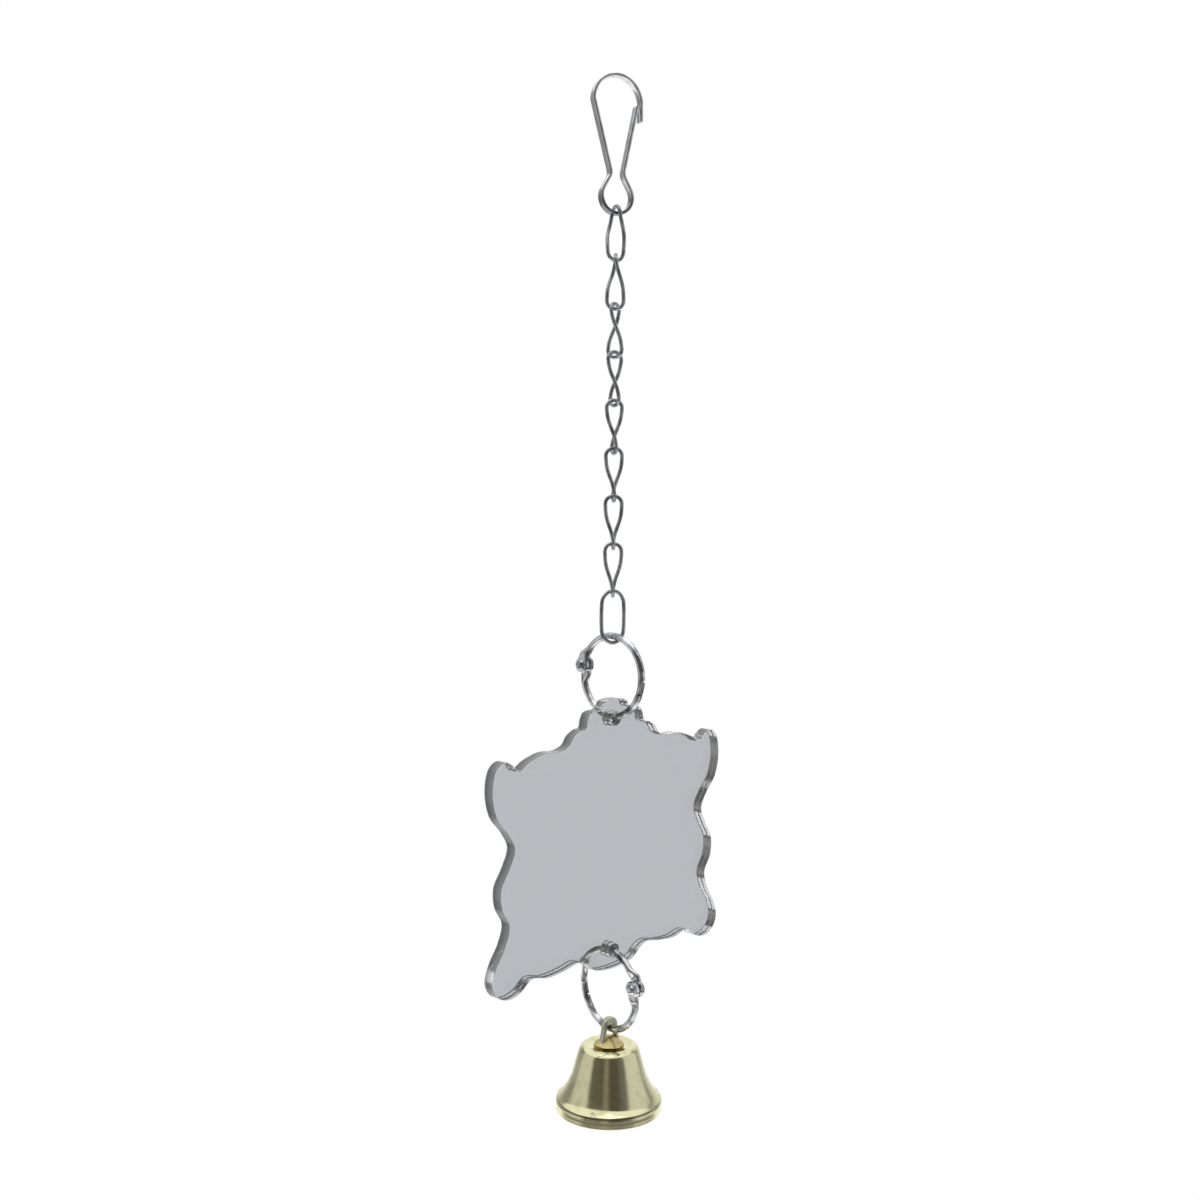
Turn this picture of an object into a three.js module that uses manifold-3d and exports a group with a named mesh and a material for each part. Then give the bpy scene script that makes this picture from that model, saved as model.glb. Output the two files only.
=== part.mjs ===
// Hanging bell toy for a bird cage: a snap hook, a chain of twisted links, a mirror on a book ring
// and a bell on a second book ring. Millimetres, +Z up.
// The origin is the hang point, the inside top of the snap hook. The mirror's face looks along -Y.

import * as THREE from 'three';
import initManifold from 'manifold-3d';

const wasm = await initManifold();
wasm.setup();

// Clearance left at every contact and fit
const GAP = 0.3;

// Snap hook, bent from flat spring strip
const HOOK_LENGTH = 34.2;
const HOOK_WIDTH = 13.6;
const HOOK_STRIP_THICKNESS = 0.8;
const HOOK_STRIP_WIDTH = 2.2;
const HOOK_BULB_WIDTH = 9;
const HOOK_NECK_LENGTH = 0.9;
const HOOK_WAIST_WIDTH = 4;
const HOOK_NOSE_LENGTH = 4.2;
const HOOK_TIP_DROP = 0.6;
const HOOK_TIP_GAP = 0.36;
const HOOK_YAW = -20;

// Chain of twisted wire links: how far each is turned from the one above it, in degrees
const LINK_TURNS = [0, -25, -32, -24, -16, -10, -6, -2];
const LINK_WIRE = 1;
const LINK_OUTER_LENGTH = 14.15;
const LINK_PLAY = 0.9;
const LINK_TWIST = 90;

// Plain oval link at the chain's lower end
const END_LINK_OUTER_LENGTH = 14;
const END_LINK_PLAY = 3.2;
const END_LINK_YAW = -25;

// Hinged book rings above and below the mirror
const RING_OUTER_DIAMETER = 22;
const RING_WIRE = 1.8;
const RING_LUG_DIAMETER = 4.2;
const RING_LUG_THICKNESS = 1.4;
const RING_LAP_ANGLE = 16;
const RING_LAP_GAP = 0.42;
const RING_PIN_DIAMETER = 1.4;
const RING_PIN_HEAD_LEDGE = 0.35;
const RING_PIN_HEAD_HEIGHT = 0.8;
const UPPER_RING_HINGE_TILT = 12;
const LOWER_RING_HINGE_TILT = 15;
const LOWER_RING_YAW = -5;
const LOWER_RING_ROCK_ANGLE = 18;

// Mirror plate, cut from acrylic sheet
const PLATE_WIDTH = 81;
const PLATE_HEIGHT = 68.2;
const PLATE_THICKNESS = 3;
const PLATE_HOLE_DIAMETER = 3.6;
const PLATE_HOLE_MARGIN = 2.7;

// Bell, drawn from sheet brass, with a cast hanger
const BELL_RIM_DIAMETER = 27;
const BELL_CROWN_DIAMETER = 15.6;
const BELL_SHOULDER_RADIUS = 2;
const BELL_SHOULDER_START_ANGLE = 18;
const BELL_HEIGHT = 16.4;
const BELL_WALL = 0.9;
const HANGER_HEIGHT = 6.3;
const HANGER_THICKNESS = 0.9;
const HANGER_WIDTH = 1.7;
const HANGER_FOOT_SPREAD = 0.7;
const FLANGE_DIAMETER = 7.6;
const FLANGE_THICKNESS = 0.7;
const STEM_DIAMETER = 3;

// Clapper, and the eye under the crown that carries it
const EYE_WIRE = 1;
const EYE_INNER_WIDTH = 2.4;
const EYE_DROP = 2.2;
const WASHER_DIAMETER = 6;
const WASHER_THICKNESS = 0.8;
const CLAPPER_WIRE = 0.9;
const CLAPPER_LENGTH = 5.8;
const CLAPPER_BALL_DIAMETER = 6;

// Fineness of the curved surfaces: sides round a wire, steps along a bend and round a turned part
const WIRE_SIDES = 8;
const BEND_STEPS = 8;
const LEG_STEPS = 7;
const RING_STEPS = 22;
const TURNED_STEPS = 20;
const BELL_STEPS = 36;
const EDGE_STEPS = 2;

const X_AXIS = new THREE.Vector3(1, 0, 0);
const Y_AXIS = new THREE.Vector3(0, 1, 0);
const Z_AXIS = new THREE.Vector3(0, 0, 1);
const { degToRad, radToDeg, clamp } = THREE.MathUtils;

// Materials

const springSteel = new THREE.MeshStandardMaterial({ color: '#b4b6b8', metalness: 1, roughness: 0.3 });
const nickelSteel = new THREE.MeshStandardMaterial({ color: '#a9abad', metalness: 1, roughness: 0.25 });
const mirrorAcrylic = new THREE.MeshStandardMaterial({ color: '#bbbdc2', metalness: 0.6, roughness: 0.08 });
const paleBrass = new THREE.MeshStandardMaterial({ color: '#cdc48e', metalness: 1, roughness: 0.22 });
const dullSteel = new THREE.MeshStandardMaterial({ color: '#8d8c86', metalness: 1, roughness: 0.45 });

// Joining and cutting: geometry as a solid, with equal corners shared and empty triangles dropped

function toSolid(geometry) {
  const flat = geometry.index ? geometry.toNonIndexed() : geometry;
  const position = flat.attributes.position;
  const seen = new Map();
  const corners = [];
  const index = [];
  for (let i = 0; i < position.count; i += 1) {
    const corner = [position.getX(i), position.getY(i), position.getZ(i)];
    const key = corner.map((value) => Math.round(value * 1e4)).join();
    if (!seen.has(key)) {
      seen.set(key, seen.size);
      corners.push(...corner);
    }
    index.push(seen.get(key));
  }
  const triangles = [];
  for (let i = 0; i < index.length; i += 3) {
    const [a, b, c] = index.slice(i, i + 3);
    if (a !== b && b !== c && c !== a) triangles.push(a, b, c);
  }
  const vertProperties = new Float32Array(corners);
  const triVerts = new Uint32Array(triangles);
  return new wasm.Manifold(new wasm.Mesh({ numProp: 3, vertProperties, triVerts }));
}

function toGeometry(solid) {
  const mesh = solid.getMesh();
  const geometry = new THREE.BufferGeometry();
  geometry.setAttribute('position', new THREE.BufferAttribute(mesh.vertProperties, 3));
  geometry.setIndex(new THREE.BufferAttribute(mesh.triVerts, 1));
  return geometry;
}

function join(...pieces) {
  return toGeometry(wasm.Manifold.union(pieces.map(toSolid)));
}

function cut(body, ...tools) {
  return toGeometry(toSolid(body).subtract(wasm.Manifold.union(tools.map(toSolid))));
}

// A bar that carries a flat outline along a path, with closed ends or joined into a loop.
// The outline's second axis follows the sideways direction given for each point of the path.
function sweep(path, sideways, outline, looped = false) {
  const count = path.length;
  const sides = outline.length;
  const positions = [];
  const triangles = [];
  path.forEach((point, i) => {
    const before = path[looped ? (i + count - 1) % count : Math.max(i - 1, 0)];
    const after = path[looped ? (i + 1) % count : Math.min(i + 1, count - 1)];
    const along = after.clone().sub(before).normalize();
    const side = sideways[i].clone().addScaledVector(along, -along.dot(sideways[i])).normalize();
    const across = side.clone().cross(along);
    outline.forEach(([a, b]) => {
      const corner = point.clone().addScaledVector(across, a).addScaledVector(side, b);
      positions.push(corner.x, corner.y, corner.z);
    });
  });
  for (let i = 0; i < (looped ? count : count - 1); i += 1) {
    const here = i * sides;
    const next = ((i + 1) % count) * sides;
    for (let j = 0; j < sides; j += 1) {
      const k = (j + 1) % sides;
      triangles.push(here + j, here + k, next + k, here + j, next + k, next + j);
    }
  }
  if (!looped) {
    const last = (count - 1) * sides;
    for (let j = 1; j < sides - 1; j += 1) {
      triangles.push(0, j + 1, j, last, last + j, last + j + 1);
    }
  }
  const geometry = new THREE.BufferGeometry();
  geometry.setAttribute('position', new THREE.Float32BufferAttribute(positions, 3));
  geometry.setIndex(triangles);
  return geometry;
}

// A bar bent in one plane: every point has the same sideways direction
function flatSweep(path, direction, outline, looped) {
  return sweep(path, path.map(() => direction), outline, looped);
}

function roundOutline(diameter) {
  return Array.from({ length: WIRE_SIDES }, (_, i) => {
    const angle = (2 * Math.PI * (i + 0.5)) / WIRE_SIDES;
    return [(Math.cos(angle) * diameter) / 2, (Math.sin(angle) * diameter) / 2];
  });
}

function stripOutline(thickness, width) {
  const a = thickness / 2;
  const b = width / 2;
  return [[-a, -b], [a, -b], [a, b], [-a, b]];
}

// Points along an arc in the XZ plane about a point on the Z axis, angles in degrees from +X towards +Z
function arcPoints(middleZ, radius, from, to, steps) {
  return Array.from({ length: steps + 1 }, (_, i) => {
    const angle = degToRad(from + ((to - from) * i) / steps);
    return new THREE.Vector3(radius * Math.cos(angle), 0, middleZ + radius * Math.sin(angle));
  });
}

// The same points turned into the YZ plane
function intoYZ(points) {
  return points.map(({ x, z }) => new THREE.Vector3(0, x, z));
}

// A round part about the Z axis, from radius and height pairs
function turned(profile, steps = TURNED_STEPS) {
  const points = profile.map(([radius, height]) => new THREE.Vector2(radius, height));
  return new THREE.LatheGeometry(points, steps).rotateX(Math.PI / 2);
}

function disc(diameter, low, high) {
  return turned([[0, low], [diameter / 2, low], [diameter / 2, high], [0, high]]);
}

// A box given by its two opposite corners
function block(low, high) {
  const size = high.map((value, i) => value - low[i]);
  const middle = high.map((value, i) => (value + low[i]) / 2);
  return new THREE.BoxGeometry(...size).translate(...middle);
}

// Snap hook: the fixed strip, and the springy leg that closes it

const hookHalf = HOOK_STRIP_THICKNESS / 2;
const hookSide = HOOK_WIDTH / 2 - hookHalf;
const hookLoopZ = hookHalf - hookSide;
const hookUnderside = HOOK_STRIP_THICKNESS - HOOK_LENGTH;
const hookBottom = hookUnderside + hookHalf;
const hookStrip = stripOutline(HOOK_STRIP_THICKNESS, HOOK_STRIP_WIDTH);
const waistX = (HOOK_WAIST_WIDTH - HOOK_STRIP_THICKNESS) / 2;
const waistZ = hookUnderside + HOOK_BULB_WIDTH + HOOK_NECK_LENGTH;

// The bulb's round bottom runs between the points where straight flanks from the waist touch it
function bulbPath() {
  const radius = (HOOK_BULB_WIDTH - HOOK_STRIP_THICKNESS) / 2;
  const middle = hookBottom + radius;
  const reach = Math.hypot(waistX, waistZ - middle);
  const start = radToDeg(Math.atan2(waistZ - middle, -waistX) + Math.acos(radius / reach));
  const end = 360 + (180 - start);
  return arcPoints(middle, radius, start, end, 2 * BEND_STEPS);
}

function hookBody() {
  const nose = new THREE.Vector3(hookSide, 0, hookLoopZ - HOOK_NOSE_LENGTH);
  const loop = arcPoints(hookLoopZ, hookSide, 0, 180, 2 * BEND_STEPS);
  const leftWaist = new THREE.Vector3(-waistX, 0, waistZ);
  const rightWaist = new THREE.Vector3(waistX, 0, waistZ);
  return flatSweep([nose, ...loop, leftWaist, ...bulbPath(), rightWaist], Y_AXIS, hookStrip);
}

function hookGate() {
  const waist = new THREE.Vector3(waistX, 0, waistZ);
  const tipX = hookSide - HOOK_STRIP_THICKNESS - HOOK_TIP_GAP;
  const tip = new THREE.Vector3(tipX, 0, hookLoopZ - HOOK_TIP_DROP);
  const along = tip.clone().sub(waist).normalize();
  const start = waist.addScaledVector(along, hookHalf + GAP);
  return flatSweep([start, tip], Y_AXIS, hookStrip);
}

// Chain links: an oval of round wire, turned about its own length by the twist

function linkLoop(outerLength, outerWidth, twist) {
  const bend = (outerWidth - LINK_WIRE) / 2;
  const lowBend = LINK_WIRE - outerLength + bend;
  const topArc = arcPoints(-bend, bend, 0, 180, BEND_STEPS);
  const bottomArc = arcPoints(lowBend, bend, 180, 360, BEND_STEPS);
  const leg = (from, to) => Array.from({ length: LEG_STEPS - 1 }, (_, i) => (
    from.clone().lerp(to, (i + 1) / LEG_STEPS)
  ));
  const downLeg = leg(topArc[BEND_STEPS], bottomArc[0]);
  const upLeg = leg(bottomArc[BEND_STEPS], topArc[0]);
  const oval = [...topArc, ...downLeg, ...bottomArc, ...upLeg];
  const twistTop = -bend / 2;
  const twistBottom = lowBend - bend / 2;
  const turnAt = (z) => {
    const share = clamp((twistTop - z) / (twistTop - twistBottom), 0, 1);
    return degToRad(twist) * (share - Math.sin(2 * Math.PI * share) / (4 * Math.PI));
  };
  const path = oval.map((point) => point.clone().applyAxisAngle(Z_AXIS, turnAt(point.z)));
  const sideways = oval.map((point) => Y_AXIS.clone().applyAxisAngle(Z_AXIS, turnAt(point.z)));
  return sweep(path, sideways, roundOutline(LINK_WIRE), true);
}

const linkOuterWidth = HOOK_STRIP_WIDTH + LINK_PLAY + 2 * LINK_WIRE;
const endLinkOuterWidth = RING_WIRE + END_LINK_PLAY + 2 * LINK_WIRE;

// Heights down the toy: each piece hangs with its top bar a gap above the bar that carries it

function hangOn(barZ, barHalf, wire) {
  return barZ + barHalf + GAP + wire / 2;
}

// The first link's round top clears the strip's corners, so it sits higher than on a round bar
const linkInnerRadius = linkOuterWidth / 2 - LINK_WIRE;
const stripReach = HOOK_STRIP_WIDTH / 2 + GAP / 2;
const stripRise = linkInnerRadius - Math.sqrt(linkInnerRadius ** 2 - stripReach ** 2);
const firstLinkTop = hangOn(hookBottom, hookHalf + stripRise, LINK_WIRE);
const linkPitch = LINK_OUTER_LENGTH - 2 * LINK_WIRE - GAP;
const linkTop = (number) => firstLinkTop - (number - 1) * linkPitch;
const chainBottom = linkTop(LINK_TURNS.length) - LINK_OUTER_LENGTH + LINK_WIRE;
const endLinkTop = hangOn(chainBottom, LINK_WIRE / 2, LINK_WIRE);
const endLinkBottom = endLinkTop - END_LINK_OUTER_LENGTH + LINK_WIRE;
const ringRadius = (RING_OUTER_DIAMETER - RING_WIRE) / 2;
const upperRingZ = hangOn(endLinkBottom, LINK_WIRE / 2, RING_WIRE) - ringRadius;
const upperRingBottom = upperRingZ - ringRadius;

// A ring's bar rises by this much from the middle of the plate to its faces
const ringSag = PLATE_THICKNESS ** 2 / (8 * ringRadius);
const plateTop = upperRingBottom + RING_WIRE / 2 + ringSag + GAP + PLATE_HOLE_MARGIN;
const plateBottom = plateTop - PLATE_HEIGHT;

// The lower ring rocks in its hole, so its bar stands clear of the hole's edge by what the tilt needs
const rock = degToRad(LOWER_RING_ROCK_ANGLE);
const rockReach = RING_WIRE / 2 / Math.cos(rock) + (PLATE_THICKNESS / 2) * Math.tan(rock);
const lowerRingTop = plateBottom + PLATE_HOLE_MARGIN + rockReach + ringSag + GAP / 2;
const lowerRingZ = lowerRingTop - ringRadius;
const lowerRingBottom = lowerRingZ - ringRadius;
const hangerTop = lowerRingBottom + RING_WIRE / 2 + GAP + HANGER_THICKNESS;
const crownTop = hangerTop - HANGER_HEIGHT;

// Book rings: two half circles in the YZ plane, hinged on a riveted pin and closed by a lap.
// Each half is drawn with its hinge at angle zero and its thinned ends towards -X.

const lugInner = GAP / 2;
const lugOuter = lugInner + RING_LUG_THICKNESS;
const pinHoleDiameter = RING_PIN_DIAMETER + 2 * GAP;

// Lays a part that was turned about Z along the X axis, at the hinge
function atHinge(geometry) {
  return geometry.rotateY(-Math.PI / 2).translate(0, ringRadius, 0);
}

function ringHalf() {
  const lap = RING_LAP_ANGLE / 2;
  const lapClear = radToDeg(RING_LAP_GAP / ringRadius);
  const lapLength = ringRadius * degToRad(RING_LAP_ANGLE) + RING_WIRE;
  const cutReach = 2 * RING_WIRE;
  const arcPath = intoYZ(arcPoints(0, ringRadius, 0, 180 + lap, RING_STEPS));
  const arc = flatSweep(arcPath, X_AXIS, roundOutline(RING_WIRE));
  const lug = atHinge(disc(RING_LUG_DIAMETER, lugInner, lugOuter));
  const lugRoom = atHinge(disc(RING_LUG_DIAMETER + 2 * GAP, -cutReach, lugInner));
  const pinHole = atHinge(disc(pinHoleDiameter, -cutReach, cutReach));
  const lapRoom = block([-lugInner, -cutReach, 0], [cutReach, cutReach, lapLength])
    .translate(0, ringRadius, 0)
    .rotateX(degToRad(180 - lap - lapClear));
  return cut(join(cut(arc, lugRoom, lapRoom), lug), pinHole);
}

function ringTopHalf(tilt) {
  return ringHalf().rotateX(degToRad(tilt));
}

function ringBottomHalf(tilt) {
  return ringHalf().rotateY(Math.PI).rotateX(degToRad(tilt));
}

function ringPin(tilt) {
  const neck = RING_PIN_DIAMETER / 2;
  const head = pinHoleDiameter / 2 + RING_PIN_HEAD_LEDGE;
  const crown = head - RING_PIN_HEAD_HEIGHT / 2;
  const inner = lugOuter + GAP;
  const outer = inner + RING_PIN_HEAD_HEIGHT;
  const edge = inner + RING_PIN_HEAD_HEIGHT / 2;
  const upper = [[neck, inner], [head, inner], [head, edge], [crown, outer], [0, outer]];
  const lower = upper.map(([radius, height]) => [radius, -height]).reverse();
  return atHinge(turned([...lower, ...upper])).rotateX(degToRad(tilt));
}

// Mirror plate: a wavy outline with a tab above and below, drawn for one side and mirrored.
// Each pair is a share of the half width, and of the height down from the upper tab's edge.
const plateEdge = [
  [0.09, 0], [0.118, 0.024], [0.22, 0.036], [0.245, 0.06], [0.258, 0.088], [0.3, 0.093], [0.36, 0.112],
  [0.4, 0.142], [0.47, 0.156], [0.59, 0.155], [0.72, 0.177], [0.8, 0.202], [0.845, 0.178], [0.905, 0.163],
  [0.97, 0.185], [1, 0.262], [0.965, 0.352], [0.88, 0.412], [0.828, 0.47], [0.87, 0.535], [0.932, 0.6],
  [0.925, 0.668], [0.868, 0.733], [0.9, 0.8], [0.965, 0.862], [0.995, 0.925], [0.95, 0.973], [0.86, 0.99],
  [0.775, 0.977], [0.695, 0.945], [0.56, 0.957], [0.43, 0.952], [0.3, 0.94], [0.235, 0.957], [0.17, 0.986],
];

function mirrorPlate() {
  const sideKnots = (side) => plateEdge.map(([across, down]) => (
    new THREE.Vector3((side * across * PLATE_WIDTH) / 2, -down * PLATE_HEIGHT, 0)
  ));
  const foot = new THREE.Vector3(0, -PLATE_HEIGHT, 0);
  const knots = [...sideKnots(-1), foot, ...sideKnots(1).reverse()];
  const edge = new THREE.CatmullRomCurve3(knots, true, 'centripetal');
  const points = edge.getPoints(EDGE_STEPS * knots.length).slice(0, -1);
  const shape = new THREE.Shape(points.map(({ x, y }) => new THREE.Vector2(x, y)));
  const holeDrop = PLATE_HOLE_MARGIN + PLATE_HOLE_DIAMETER / 2;
  [-holeDrop, holeDrop - PLATE_HEIGHT].forEach((y) => {
    shape.holes.push(new THREE.Path().absarc(0, y, PLATE_HOLE_DIAMETER / 2, 0, 2 * Math.PI));
  });
  const sheet = new THREE.ExtrudeGeometry(shape, { depth: PLATE_THICKNESS, bevelEnabled: false });
  return sheet.translate(0, 0, -PLATE_THICKNESS / 2).rotateX(Math.PI / 2);
}

// Bell shell: the outside from the rim up, the inside one wall away, and a hole for the stem.
// Each pair is a share of the rim's radius, and of the height.
const bellFlank = [
  [0.963, 0], [1, 0.05], [0.99, 0.115], [0.97, 0.135], [0.978, 0.16], [0.96, 0.207],
  [0.915, 0.256], [0.852, 0.31], [0.787, 0.384], [0.727, 0.5], [0.676, 0.634], [0.625, 0.78],
];

function bellOutline(inset) {
  const flank = bellFlank.map(([across, up]) => [
    (across * BELL_RIM_DIAMETER) / 2 - inset,
    (up - 1) * BELL_HEIGHT,
  ]);
  const bend = BELL_SHOULDER_RADIUS - inset;
  const flatRadius = BELL_CROWN_DIAMETER / 2 - BELL_SHOULDER_RADIUS;
  const shoulder = arcPoints(-BELL_SHOULDER_RADIUS, bend, BELL_SHOULDER_START_ANGLE, 90, BEND_STEPS / 2)
    .map(({ x, z }) => [flatRadius + x, z]);
  return [...flank, ...shoulder];
}

function bellShell() {
  const stemHole = STEM_DIAMETER / 2 + GAP;
  const inside = bellOutline(BELL_WALL).reverse();
  const profile = [...bellOutline(0), [stemHole, 0], [stemHole, -BELL_WALL], ...inside];
  return turned([...profile, profile[0]], BELL_STEPS);
}

// Bell hanger: an arch on a round flange, with a stem down through the crown

function bellHanger() {
  const bend = RING_WIRE / 2 + GAP + HANGER_THICKNESS / 2;
  const archZ = HANGER_HEIGHT - HANGER_THICKNESS / 2 - bend;
  const flangeTop = GAP + FLANGE_THICKNESS;
  const flangeMiddle = GAP + FLANGE_THICKNESS / 2;
  const foot = (side) => new THREE.Vector3(side * (bend + HANGER_FOOT_SPREAD), 0, flangeMiddle);
  const path = [foot(1), ...arcPoints(archZ, bend, 0, 180, BEND_STEPS), foot(-1)];
  const arch = flatSweep(path, Y_AXIS, stripOutline(HANGER_THICKNESS, HANGER_WIDTH));
  const flange = disc(FLANGE_DIAMETER, GAP, flangeTop);
  const stem = disc(STEM_DIAMETER, -BELL_WALL, flangeMiddle);
  return join(arch, flange, stem);
}

// Clapper eye: a washer under the crown, with a bent wire eye below it

const washerTop = -BELL_WALL - GAP;
const washerBottom = washerTop - WASHER_THICKNESS;
const eyeBend = (EYE_INNER_WIDTH + EYE_WIRE) / 2;
const eyeMiddle = washerBottom - EYE_DROP;
const eyeBottom = eyeMiddle - eyeBend;

function clapperEye() {
  const root = (side) => new THREE.Vector3(side * eyeBend, 0, washerBottom + WASHER_THICKNESS / 2);
  const path = [root(-1), ...arcPoints(eyeMiddle, eyeBend, 180, 360, BEND_STEPS), root(1)];
  const eye = flatSweep(path, Y_AXIS, roundOutline(EYE_WIRE));
  return join(eye, disc(WASHER_DIAMETER, washerBottom, washerTop));
}

// Clapper: a looped wire with a ball on its end

const clapperLoop = (EYE_WIRE + CLAPPER_WIRE) / 2 + GAP;
const ballZ = eyeBottom - CLAPPER_LENGTH;

function clapperWire() {
  const circle = arcPoints(eyeBottom, clapperLoop, 0, 360, 2 * BEND_STEPS).slice(0, -1);
  const loop = flatSweep(intoYZ(circle), X_AXIS, roundOutline(CLAPPER_WIRE), true);
  const shank = disc(CLAPPER_WIRE, ballZ, eyeBottom - clapperLoop);
  return join(loop, shank);
}

function clapperBall() {
  const radius = CLAPPER_BALL_DIAMETER / 2;
  const ball = new THREE.SphereGeometry(radius, TURNED_STEPS, TURNED_STEPS / 2);
  const bore = disc(CLAPPER_WIRE + 2 * GAP, -GAP, 2 * radius);
  return cut(ball.rotateX(Math.PI / 2), bore).translate(0, 0, ballZ);
}

// The toy, from the hook down

const toy = new THREE.Group();
toy.name = 'hanging_bell_toy';

function add(name, geometry, material, z, yaw) {
  const mesh = new THREE.Mesh(geometry, material);
  mesh.name = name;
  mesh.position.z = z;
  mesh.rotation.z = degToRad(yaw);
  toy.add(mesh);
}

add('snap_hook_body', hookBody(), springSteel, 0, HOOK_YAW);
add('snap_hook_gate', hookGate(), springSteel, 0, HOOK_YAW);

let linkYaw = HOOK_YAW + 90;
LINK_TURNS.forEach((turn, i) => {
  linkYaw += turn;
  const link = linkLoop(LINK_OUTER_LENGTH, linkOuterWidth, LINK_TWIST);
  add(`twist_link_${i + 1}`, link, nickelSteel, linkTop(i + 1), linkYaw);
});
const endLink = linkLoop(END_LINK_OUTER_LENGTH, endLinkOuterWidth, 0);
add('end_link', endLink, nickelSteel, endLinkTop, END_LINK_YAW);

function addRing(name, tilt, z, yaw) {
  add(`${name}_top_half`, ringTopHalf(tilt), nickelSteel, z, yaw);
  add(`${name}_hinge_pin`, ringPin(tilt), nickelSteel, z, yaw);
  add(`${name}_bottom_half`, ringBottomHalf(tilt), nickelSteel, z, yaw);
}

addRing('upper_ring', UPPER_RING_HINGE_TILT, upperRingZ, 0);
add('mirror_plate', mirrorPlate(), mirrorAcrylic, plateTop, 0);
addRing('lower_ring', LOWER_RING_HINGE_TILT, lowerRingZ, 180 + LOWER_RING_YAW);

add('bell_hanger', bellHanger(), paleBrass, crownTop, LOWER_RING_YAW);
add('bell_shell', bellShell(), paleBrass, crownTop, LOWER_RING_YAW);
add('clapper_eye', clapperEye(), dullSteel, crownTop, LOWER_RING_YAW);
add('clapper_wire', clapperWire(), dullSteel, crownTop, LOWER_RING_YAW);
add('clapper_ball', clapperBall(), dullSteel, crownTop, LOWER_RING_YAW);

export default toy;
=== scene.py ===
# Hanging bell toy for a bird cage, dressed over its measured frame.
# Sizes and heights are millimetres and follow the solids; the studio's are metres.

import math

import bmesh
import bpy
from mathutils import Matrix, Vector
from mathutils.geometry import tessellate_polygon


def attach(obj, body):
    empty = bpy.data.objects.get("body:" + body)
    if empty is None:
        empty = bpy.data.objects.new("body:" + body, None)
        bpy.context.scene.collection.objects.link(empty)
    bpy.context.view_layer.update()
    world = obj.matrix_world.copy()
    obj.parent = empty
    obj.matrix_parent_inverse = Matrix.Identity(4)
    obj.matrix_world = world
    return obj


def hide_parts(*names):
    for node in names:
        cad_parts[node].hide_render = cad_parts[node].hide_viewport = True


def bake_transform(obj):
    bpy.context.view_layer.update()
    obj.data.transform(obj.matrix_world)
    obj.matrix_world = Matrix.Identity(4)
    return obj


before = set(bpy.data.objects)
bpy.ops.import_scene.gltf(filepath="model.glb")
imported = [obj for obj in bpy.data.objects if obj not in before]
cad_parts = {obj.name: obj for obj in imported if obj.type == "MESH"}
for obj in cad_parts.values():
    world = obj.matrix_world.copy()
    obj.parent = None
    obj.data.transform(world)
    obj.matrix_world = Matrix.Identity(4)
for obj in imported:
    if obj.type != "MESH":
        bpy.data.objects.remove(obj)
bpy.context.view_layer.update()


# Snap hook: one flat strip of spring steel, bent to a loop, a narrow waist and a round bulb that
# carries the chain. It is nickel plated after bending, and its free end springs shut inside the nose.

MM = 0.001
HOOK_LENGTH = 34.2
HOOK_WIDTH = 13.6
HOOK_STRIP_THICKNESS = 0.8
HOOK_STRIP_WIDTH = 2.2
HOOK_STRIP_EDGE_RADIUS = 0.22
HOOK_BULB_WIDTH = 9.0
HOOK_NECK_LENGTH = 0.9
HOOK_WAIST_WIDTH = 4.0
HOOK_WAIST_BEND = 1.1
HOOK_NOSE_LENGTH = 4.2
HOOK_TIP_DROP = 0.6
HOOK_TIP_GAP = 0.36
HOOK_YAW = -20
# Heights where the bulb's painted dark reflection begins and where it is full.
HOOK_PAINTED_REFLECTION_START = -27
HOOK_PAINTED_REFLECTION_END = -31
HOOK_ARC_STEPS = 40
HOOK_BEND_STEPS = 8
HOOK_LEG_STEPS = 24
STRIP_EDGE_STEPS = 4
SHARP_EDGE_ANGLE = 40
Y_AXIS = Vector((0, 1, 0))

# Handling scratches are some 0.02 mm wide. They are drawn about ten times as coarse, so that they show.
SCRATCH_DEPTH = 0.01


def linear(hex_colour):
    """An sRGB hex colour as the linear colour that a shader takes."""
    shares = [int(hex_colour[i:i + 2], 16) / 255 for i in (1, 3, 5)]
    return [s / 12.92 if s <= 0.04045 else ((s + 0.055) / 1.055) ** 2.4 for s in shares] + [1]


def node(tree, kind, inputs=None, **settings):
    """Adds a node with its settings, and sets or links each named input."""
    made = tree.nodes.new(kind)
    for key, value in settings.items():
        setattr(made, key, value)
    for name, value in (inputs or {}).items():
        if isinstance(value, bpy.types.NodeSocket):
            tree.links.new(value, made.inputs[name])
        else:
            made.inputs[name].default_value = value
    return made


def new_material(name):
    """An empty material, with its node tree and the coordinates of the piece in metres."""
    material = bpy.data.materials.new(name)
    material.use_nodes = True
    tree = material.node_tree
    tree.nodes.clear()
    place = node(tree, "ShaderNodeTexCoord").outputs["Object"]
    return material, tree, place


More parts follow.
